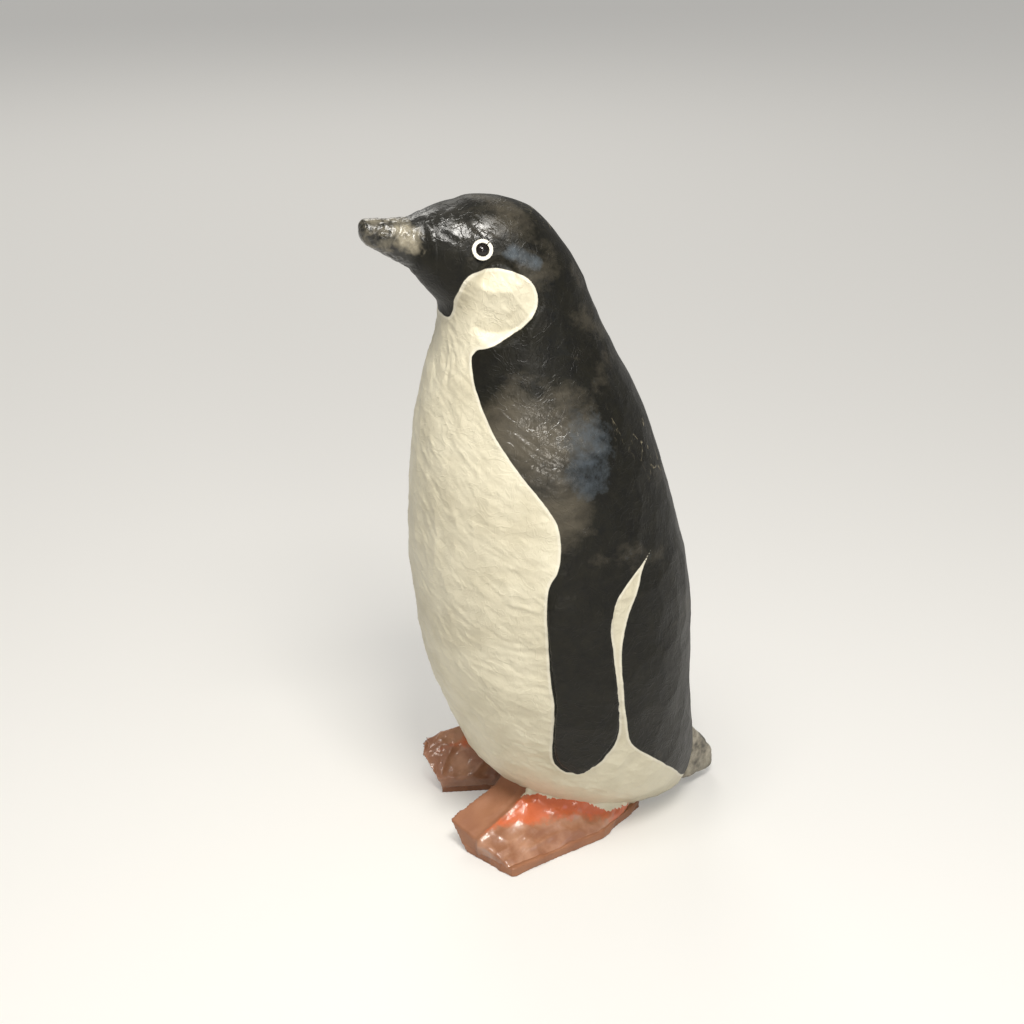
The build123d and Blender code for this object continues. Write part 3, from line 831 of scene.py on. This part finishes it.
def beak_ring(along):
    """Points round the wound beak at a distance ahead of its joint with the muzzle."""
    share = along / beak_length
    past_blunt = max((share - BLUNT_FROM) / (1 - BLUNT_FROM), 0)
    blunt = math.sqrt(max(1 - past_blunt**2, BLUNT_LEAST**2))
    half_width = between(root_half_width, TIP_HALF_WIDTH, share) * blunt
    half_height = between(root_half_height, TIP_HALF_HEIGHT, share) * blunt
    middle = Vector((0, beak_high.y - along, between(ROOT_MIDDLE, TIP_MIDDLE, share)))
    on_muzzle = 1 - float(smooth_step(along, *MUZZLE_ALONG))
    lap_end = float(smooth_step(-along, BEAK_LAP * LAP_SINK_FROM, BEAK_LAP))
    muzzle_middle = middle.copy()
    muzzle_middle.y = max(middle.y, beak_high.y + MUZZLE_INSET)
    points = []
    for column in range(BEAK_POINTS):
        turn = 2 * math.pi * column / BEAK_POINTS
        spoke = Vector((math.sin(turn) * half_width, 0, math.cos(turn) * half_height))
        outward = spoke.normalized()
        reach = spoke.length
        if on_muzzle > 0:
            skin = body_tree.ray_cast(muzzle_middle, outward, reach * MUZZLE_SEARCH)[0]
            if skin:
                skin_reach = (skin - muzzle_middle).dot(outward) + LAP_RISE - LAP_SINK * lap_end
                reach = between(reach, skin_reach, on_muzzle)
        unevenness = STRIP_UNEVENNESS * noise.noise(Vector((turn, share / STRIP_UNEVEN_LENGTH, 3)))
        wound = (along / STRIP_WIDTH + STRIP_SLANT * math.sin(turn) + unevenness) % 1
        ridge = (wound - 0.5) * STRIP_EDGE * (1 - on_muzzle) * min(1, STRIP_FADE - share) * blunt
        points.append(middle + outward * (reach + ridge))
    return points


rings = [beak_ring(float(along)) for along in np.linspace(-BEAK_LAP, beak_length, BEAK_RINGS)]
beak = evened("wound_beak", grid_mesh("wound_beak", np.array(rings)), BEAK_SPACING, BEAK_ROUNDING)
places, directions = points_of(beak.data)
relief = heights(places, facet_height, CRINKLE_SIZE) * CRINKLE_HEIGHT
relief += heights(places, fold_height, BEAK_FOLD_SPACING, BEAK_FOLDS) * BEAK_FOLD_HEIGHT
relief *= smooth_step(beak_high.y - places[:, 1], *FOLDS_AHEAD)
places += directions * relief[:, None]
move_points(beak.data, places)
shiny = smooth_step(beak_high.y - places[:, 1], *SHINE_AHEAD)
beak_crinkled = between(nearness(places, CRINKLED_SPOTS), BEAK_SHINE, shiny)
store_paint(beak.data, places, np.full(len(places), ALL_BLACK), beak_crinkled)
beak.data.materials.append(paint)
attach(beak, "root")
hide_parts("beak")

# Eyes
# Black glass domes on shanks pushed through the shell, each inside a ring bent from a white painted strip
# whose ends meet in a butt joint.
RING_ROUNDING = 0.45 * MM
RING_ROUNDING_STEPS = 4
GRIME_SIZE = 2.5 * MM
SWIRL_SIZE = 3 * MM

# Brushed enamel: clean white with a faint grime and a soft gloss
enamel, shader = new_material("white enamel")
where = add_node(enamel, "TexCoord", {}, output="Object")
grime = add_node(enamel, "TexNoise", {"Vector": where, "Scale": 1 / GRIME_SIZE, "Detail": 4.0})
whites = {SHARE: grime, FIRST: hex_colour("#F3EFE4"), SECOND: hex_colour("#D8D1C0")}
colour = add_node(enamel, "Mix", whites, **COLOURS)
feed(enamel, shader, {"Base Color": colour, "Roughness": 0.3})

# Moulded black glass: nearly black with a brown swirl, so smooth that it mirrors the lamps as points
glass, shader = new_material("black eye glass")
where = add_node(glass, "TexCoord", {}, output="Object")
swirl = add_node(glass, "TexNoise", {"Vector": where, "Scale": 1 / SWIRL_SIZE, "Detail": 2.0})
dark_browns = {SHARE: swirl, FIRST: hex_colour("#0B0908"), SECOND: hex_colour("#1E1410")}
colour = add_node(glass, "Mix", dark_browns, **COLOURS)
feed(glass, shader, {"Base Color": colour, "Roughness": 0.04, "IOR": 1.52})

for name in ("left", "right"):
    ring = bpy.data.objects.new("eye_rim_" + name, copied("eye_ring_" + name))
    bpy.context.scene.collection.objects.link(ring)
    rounding = ring.modifiers.new("rounded edge", "BEVEL")
    rounding.width = RING_ROUNDING
    rounding.segments = RING_ROUNDING_STEPS
    ring.data.materials.append(enamel)
    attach(ring, "root")
    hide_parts("eye_ring_" + name)
    dome = bpy.data.objects.new("glass_eye_" + name, copied("eye_" + name))
    bpy.context.scene.collection.objects.link(dome)
    dome.data.shade_smooth()
    dome.data.materials.append(glass)
    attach(dome, "root")
    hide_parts("eye_" + name)

# Tail
# A short wedge of rolled paper, let into the rump with a tenon and brushed with the black of the back.
# It is now dusty and grey.
TAIL_SPACING = 1.0 * MM
TAIL_ROUNDING = 70
TAIL_PATCH_SIZE = 15 * MM
TAIL_PATCH_HEIGHT = 1.4 * MM
TAIL_FOLD_SPACING = 7 * MM
TAIL_FOLD_HEIGHT = 0.4 * MM
TAIL_PUSH = 2 * MM
DUST_SIZE = 16 * MM

tail = evened("paper_tail", copied("tail"), TAIL_SPACING, TAIL_ROUNDING)
places, directions = points_of(tail.data)
relief = heights(places, facet_height, TAIL_PATCH_SIZE) * TAIL_PATCH_HEIGHT
relief += heights(places, fold_height, TAIL_FOLD_SPACING, SLANTED_FOLDS) * TAIL_FOLD_HEIGHT
places += directions * (relief - relief.mean())[:, None]
places[:, 1] -= TAIL_PUSH
move_points(tail.data, places)

# Black house paint left unvarnished and rubbed: dull, with pale dust in clouds
dusty_paint, shader = new_material("dusty black house paint")
where = add_node(dusty_paint, "TexCoord", {}, output="Object")
dust_pattern = {"Vector": where, "Scale": 1 / DUST_SIZE, "Detail": 6.0, "Roughness": 0.65}
dust = add_node(dusty_paint, "TexNoise", dust_pattern)
dusted = add_node(dusty_paint, "MapRange", {"Value": dust, "From Min": 0.36, "From Max": 0.62})
greys = {SHARE: dusted, FIRST: hex_colour("#3A362F"), SECOND: hex_colour("#B3AB9A")}
colour = add_node(dusty_paint, "Mix", greys, **COLOURS)
feed(dusty_paint, shader, {"Base Color": colour, "Roughness": 0.6})
tail.data.materials.append(dusty_paint)
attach(tail, "root")
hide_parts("tail")

# Feet
# Wedges of crumpled paper pasted on card soles, painted brown, brushed orange next to the belly and coated
# with thick gloss varnish, whose sheen is also painted as paler patches on the crumpled side.
FOOT_SPACING = 1.1 * MM
FOOT_ROUNDING = 3
CRUMPLE_SIZE = 22 * MM
CRUMPLE_HEIGHT = 3.0 * MM
FINE_CRUMPLE_SIZE = 8 * MM
FINE_CRUMPLE_HEIGHT = 0.45 * MM
FOOT_FOLD_SPACING = 16 * MM
FOOT_FOLD_HEIGHT = 1.5 * MM
FOOT_FOLDS = Vector((-0.4, 0.85, 0.33)).normalized()
CALM_CRUMPLES = 0.35
JOINT_CRUMPLES = 0.2
JOINT_RISE = 5 * MM
CREST_HEIGHT = 1.6 * MM
CREST_HALF_WIDTH = 2.4
CREST_EDGE = (-2, 3)
RIM_RISE = 12 * MM
RIM_HEIGHT = 1.6 * MM
RIM_HALF_WIDTH = 2.2 * MM
RIM_LEAST = 0.5
FILLET_REACH = 9
FILLET_RISE = 6 * MM
SOLE_TOP = 7 * MM
UPPER_SINK = 2.5 * MM
UPPER_SINK_RISE = 3 * MM
GROUND_RISE = 0.6 * MM
LEAST_GLOSS = 0.15

# Lines on the left foot seen from above, x and y in mm: its crest and the outer edges of the white and the
# orange paint. The right foot has them mirrored and shifted to where it stands, and has orange also close to
# the belly.
CREST_LINE = ((54.9, -82.3), (34, -29.7), (20, 5))
WHITE_EDGE = ((38, -36), (45, -22), (49.2, -2), (52, 15.9), (51, 28.6), (40, 53))
ORANGE_EDGE = ((50.7, -67), (57.5, -38.8), (56, -11.8), (57, 12.8), (53.5, 35.8), (43, 56))
WHITE_OVER_CREST = 1
RIGHT_FOOT_SHIFT = (6, 13)
BELLY_ORANGE = 9
NO_PAINT = -20.0

# The right foot's inner edge is pressed to a slope: a place on it in mm, the way it faces and its reach in mm
INNER_SLOPE_PLACE = (-46, -70, 16)
INNER_SLOPE_FACING = (0.80, -0.24, 0.55)
INNER_SLOPE_REACH = 90

# Household gloss on crumpled paper: red brown, brushed orange beside the belly, cream where the body's white
# ran over, all under thick varnish that shines on the crumpled side, where paler patches are a painted sheen.
BRUSH_SIZE = 9 * MM
BRUSH_REACH = 15.0
RAGGED_SIZE = 3 * MM
RAGGED_REACH = 3.2
TONE_AND_SHEEN_SIZE = 22 * MM
VARNISH_WRINKLE_SIZE = 5 * MM
VARNISH_WRINKLE_DEPTH = 0.35 * MM

foot_paint, shader = new_material("gloss varnished brown and orange paint")
where = add_node(foot_paint, "TexCoord", {}, output="Object")
orange_depth, white_depth, gloss = (
    add_node(foot_paint, "Attribute", {}, output="Fac", attribute_name=name)
    for name in ("orange_depth", "white_depth", "gloss")
)
brush_pattern = {"Vector": where, "Scale": 1 / BRUSH_SIZE, "Detail": 5.0, "Roughness": 0.6}
brush = add_node(foot_paint, "TexNoise", brush_pattern)
brushed = add_node(foot_paint, "Math", {0: brush, 1: BRUSH_REACH, 2: orange_depth}, operation="MULTIPLY_ADD")
orange_share = add_node(foot_paint, "MapRange", {"Value": brushed, "From Min": 5.5, "From Max": 10.5})
ragged = add_node(foot_paint, "TexNoise", {"Vector": where, "Scale": 1 / RAGGED_SIZE, "Detail": 2.0})
run_over_edge = {0: ragged, 1: RAGGED_REACH, 2: white_depth}
run_over = add_node(foot_paint, "Math", run_over_edge, operation="MULTIPLY_ADD")
white_share = add_node(foot_paint, "MapRange", {"Value": run_over, "From Min": 1.6, "From Max": 1.9})
shade = add_node(foot_paint, "TexNoise", {"Vector": where, "Scale": 1 / TONE_AND_SHEEN_SIZE, "Detail": 4.0})
browns = {SHARE: shade, FIRST: hex_colour("#A9734F"), SECOND: hex_colour("#8A583F")}
brown_coat = add_node(foot_paint, "Mix", browns, **COLOURS)
# Paler brown in patches on the glossy side is a painted sheen
sheen_patches = add_node(foot_paint, "MapRange", {"Value": shade, "From Min": 0.6, "From Max": 0.4, "To Max": 0.5})
varnished = add_node(foot_paint, "Math", {0: gloss, 1: sheen_patches}, operation="MULTIPLY")
sheen_browns = {SHARE: varnished, FIRST: brown_coat, SECOND: hex_colour("#CF9F82")}
brown_coat = add_node(foot_paint, "Mix", sheen_browns, **COLOURS)
oranges = {SHARE: shade, FIRST: hex_colour("#DE6E38"), SECOND: hex_colour("#C65C2D")}
orange_coat = add_node(foot_paint, "Mix", oranges, **COLOURS)
coats = {SHARE: orange_share, FIRST: brown_coat, SECOND: orange_coat}
colour = add_node(foot_paint, "Mix", coats, **COLOURS)
creamed = {SHARE: white_share, FIRST: colour, SECOND: hex_colour("#E3DCC4")}
colour = add_node(foot_paint, "Mix", creamed, **COLOURS)
wrinkle_pattern = {"Vector": where, "Scale": 1 / VARNISH_WRINKLE_SIZE, "Detail": 3.0, "Distortion": 1.0}
wrinkle = add_node(foot_paint, "TexNoise", wrinkle_pattern)
wrinkle_height = {"Height": wrinkle, "Distance": VARNISH_WRINKLE_DEPTH, "Strength": 0.6}
wrinkled = add_node(foot_paint, "Bump", wrinkle_height)
feed(
    foot_paint,
    shader,
    {
        "Base Color": colour,
        "Roughness": 0.5,
        "Normal": wrinkled,
        "Coat Weight": gloss,
        "Coat Roughness": 0.17,
        "Coat Normal": wrinkled,
    },
)


def inside_line(across, behind, line):
    """How far in mm places lie inside a line seen from above."""
    line_across, line_behind = zip(*line)
    return np.interp(behind, line_behind, line_across) - across


for side, name, shift in ((1, "left", (0, 0)), (-1, "right", RIGHT_FOOT_SHIFT)):
    for kind, slot in (("foot_upper_", "foot_paint"), ("foot_sole_", "sole_paint")):
        is_upper = kind == "foot_upper_"
        foot = evened("paper_" + kind + name, copied(kind + name), FOOT_SPACING, FOOT_ROUNDING)
        places, directions = points_of(foot.data)
        if is_upper and name == "right":
            press_flat(places, INNER_SLOPE_PLACE, INNER_SLOPE_FACING, 0, INNER_SLOPE_REACH)
            move_points(foot.data, places)
            places, directions = points_of(foot.data)
        across = side * places[:, 0] / MM - shift[0]
        behind = places[:, 1] / MM - shift[1]
        outside_crest = -inside_line(across, behind, CREST_LINE)
        crumpled = smooth_step(outside_crest, *CREST_EDGE) if name == "left" else np.ones(len(places))
        relief = heights(places, facet_height, CRUMPLE_SIZE) * CRUMPLE_HEIGHT
        relief += heights(places, fold_height, FOOT_FOLD_SPACING, FOOT_FOLDS) * FOOT_FOLD_HEIGHT
        relief += heights(places, facet_height, FINE_CRUMPLE_SIZE) * FINE_CRUMPLE_HEIGHT
        relief = (relief - relief.mean()) * between(CALM_CRUMPLES, 1, crumpled)
        if is_upper:
            over_joint = smooth_step(places[:, 2], SOLE_TOP, SOLE_TOP + JOINT_RISE)
            relief *= between(JOINT_CRUMPLES, 1, over_joint)
            relief += CREST_HEIGHT * np.exp(-((outside_crest / CREST_HALF_WIDTH) ** 2))
            rim = np.exp(-(((places[:, 2] - RIM_RISE) / RIM_HALF_WIDTH) ** 2)) * crumpled
            relief += RIM_HEIGHT * rim * (RIM_LEAST + heights(places, lump_height, FOOT_FOLD_SPACING))
        places += directions * np.where(places[:, 2] < GROUND_RISE, 0, relief)[:, None]
        orange = white = np.full(len(places), NO_PAINT)
        if is_upper:
            belly_gap = np.array([body_tree.find_nearest(Vector(place))[3] for place in places]) / MM
            places[:, 2] += FILLET_RISE * np.clip(1 - belly_gap / FILLET_REACH, 0, 1) ** 2
            places[:, 2] -= UPPER_SINK * (1 - smooth_step(places[:, 2], SOLE_TOP, SOLE_TOP + UPPER_SINK_RISE))
            orange = np.minimum(outside_crest, inside_line(across, behind, ORANGE_EDGE))
            white = np.minimum(outside_crest + WHITE_OVER_CREST, inside_line(across, behind, WHITE_EDGE))
        if is_upper and name == "right":
            orange = np.maximum(orange, BELLY_ORANGE - belly_gap)
        places[:, 2] = np.maximum(places[:, 2], 0)
        move_points(foot.data, places)
        store(foot.data, "orange_depth", orange)
        store(foot.data, "white_depth", white)
        store(foot.data, "gloss", between(LEAST_GLOSS, 1, crumpled * is_upper))
        foot.data.materials.append(foot_paint)
        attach(foot, "root")
        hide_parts(kind + name)

# Floor and backdrop
# A plain pale table top of painted board that takes the shadow and runs out far behind the figure.
FLOOR_SIZE = 60.0
FLOOR_GLOW = 0.25

# Matt paint: an even pale grey without shine. It glows a little where it is seen, straight or in a
# reflection, for a pale backdrop that puts no more light on the figure.
bpy.ops.mesh.primitive_plane_add(size=FLOOR_SIZE)
floor = bpy.context.object
floor.name = "table_top"
table, shader = new_material("matt pale table top")
rays = add_node(table, "LightPath", {}).node.outputs
seen = add_node(table, "Math", {0: rays["Is Camera Ray"], 1: rays["Is Glossy Ray"]}, operation="MAXIMUM")
seen = add_node(table, "Math", {0: seen, 1: rays["Is Transmission Ray"]}, operation="MAXIMUM")
glow = add_node(table, "Math", {0: seen, 1: FLOOR_GLOW}, operation="MULTIPLY")
feed(
    table,
    shader,
    {
        "Base Color": hex_colour("#D8D6D2"),
        "Roughness": 0.8,
        "Specular IOR Level": 0.2,
        "Emission Color": hex_colour("#F6F5F2"),
        "Emission Strength": glow,
    },
)
floor.data.materials.append(table)

# Lamps
# Two soft boxes above the front, a low one at the side by the camera, a pale blue window behind it and a
# large fill on the far side, all under an even pale surround.
LAMP_AIM = (0, 0, 0.3)
LOW_AIM = (0, 0, 0.25)
SURROUND_STRENGTH = 0.34


def soft_box(name, place, aim, size, power, colour):
    """Square soft box that shines from a place at an aim point, both in metres."""
    lamp = bpy.data.lights.new(name, "AREA")
    lamp.shape = "SQUARE"
    lamp.size = size
    lamp.energy = power
    lamp.color = hex_colour(colour)[:3]
    holder = bpy.data.objects.new(name, lamp)
    holder.location = place
    holder.rotation_euler = (Vector(aim) - Vector(place)).to_track_quat("-Z", "Y").to_euler()
    bpy.context.scene.collection.objects.link(holder)


soft_box("key soft box", (0.69, -0.15, 1.27), LAMP_AIM, 0.4, 12, "#FFFCF6")
soft_box("front soft box", (0.39, -0.55, 1.75), LOW_AIM, 0.5, 7, "#FFFCF6")
soft_box("side soft box", (2.6, -0.35, 0.75), LAMP_AIM, 0.4, 9, "#FFF8EC")
soft_box("window", (2.1, 1.5, 0.9), LAMP_AIM, 0.7, 3, "#C9DCF5")
soft_box("fill soft box", (-3.0, 0.6, 2.6), LOW_AIM, 1.4, 26, "#FFFCF6")

surround = bpy.data.worlds.new("pale surround")
surround.use_nodes = True
bpy.context.scene.world = surround
background = surround.node_tree.nodes["Background"]
feed(surround, background, {"Color": hex_colour("#F4F3F0"), "Strength": SURROUND_STRENGTH})

# Camera
# It stands where the photograph was taken: in front of the bird's left side, a little above its head.
VIEW_TURN = math.radians(68)
VIEW_TILT = math.radians(22)
VIEW_DISTANCE = 1.4
VIEW_AIM = Vector((-17.6, -25.8, 250.1)) * MM
LENS = 65.0
SENSOR_WIDTH = 36.0

camera = bpy.data.cameras.new("camera")
camera.lens = LENS
camera.sensor_width = SENSOR_WIDTH
viewer = bpy.data.objects.new("camera", camera)
level = math.cos(VIEW_TILT)
backward = Vector((math.sin(VIEW_TURN) * level, -math.cos(VIEW_TURN) * level, math.sin(VIEW_TILT)))
viewer.location = VIEW_AIM + backward * VIEW_DISTANCE
viewer.rotation_euler = backward.to_track_quat("Z", "Y").to_euler()
bpy.context.scene.collection.objects.link(viewer)
bpy.context.scene.camera = viewer
bpy.context.scene.view_settings.view_transform = "Standard"
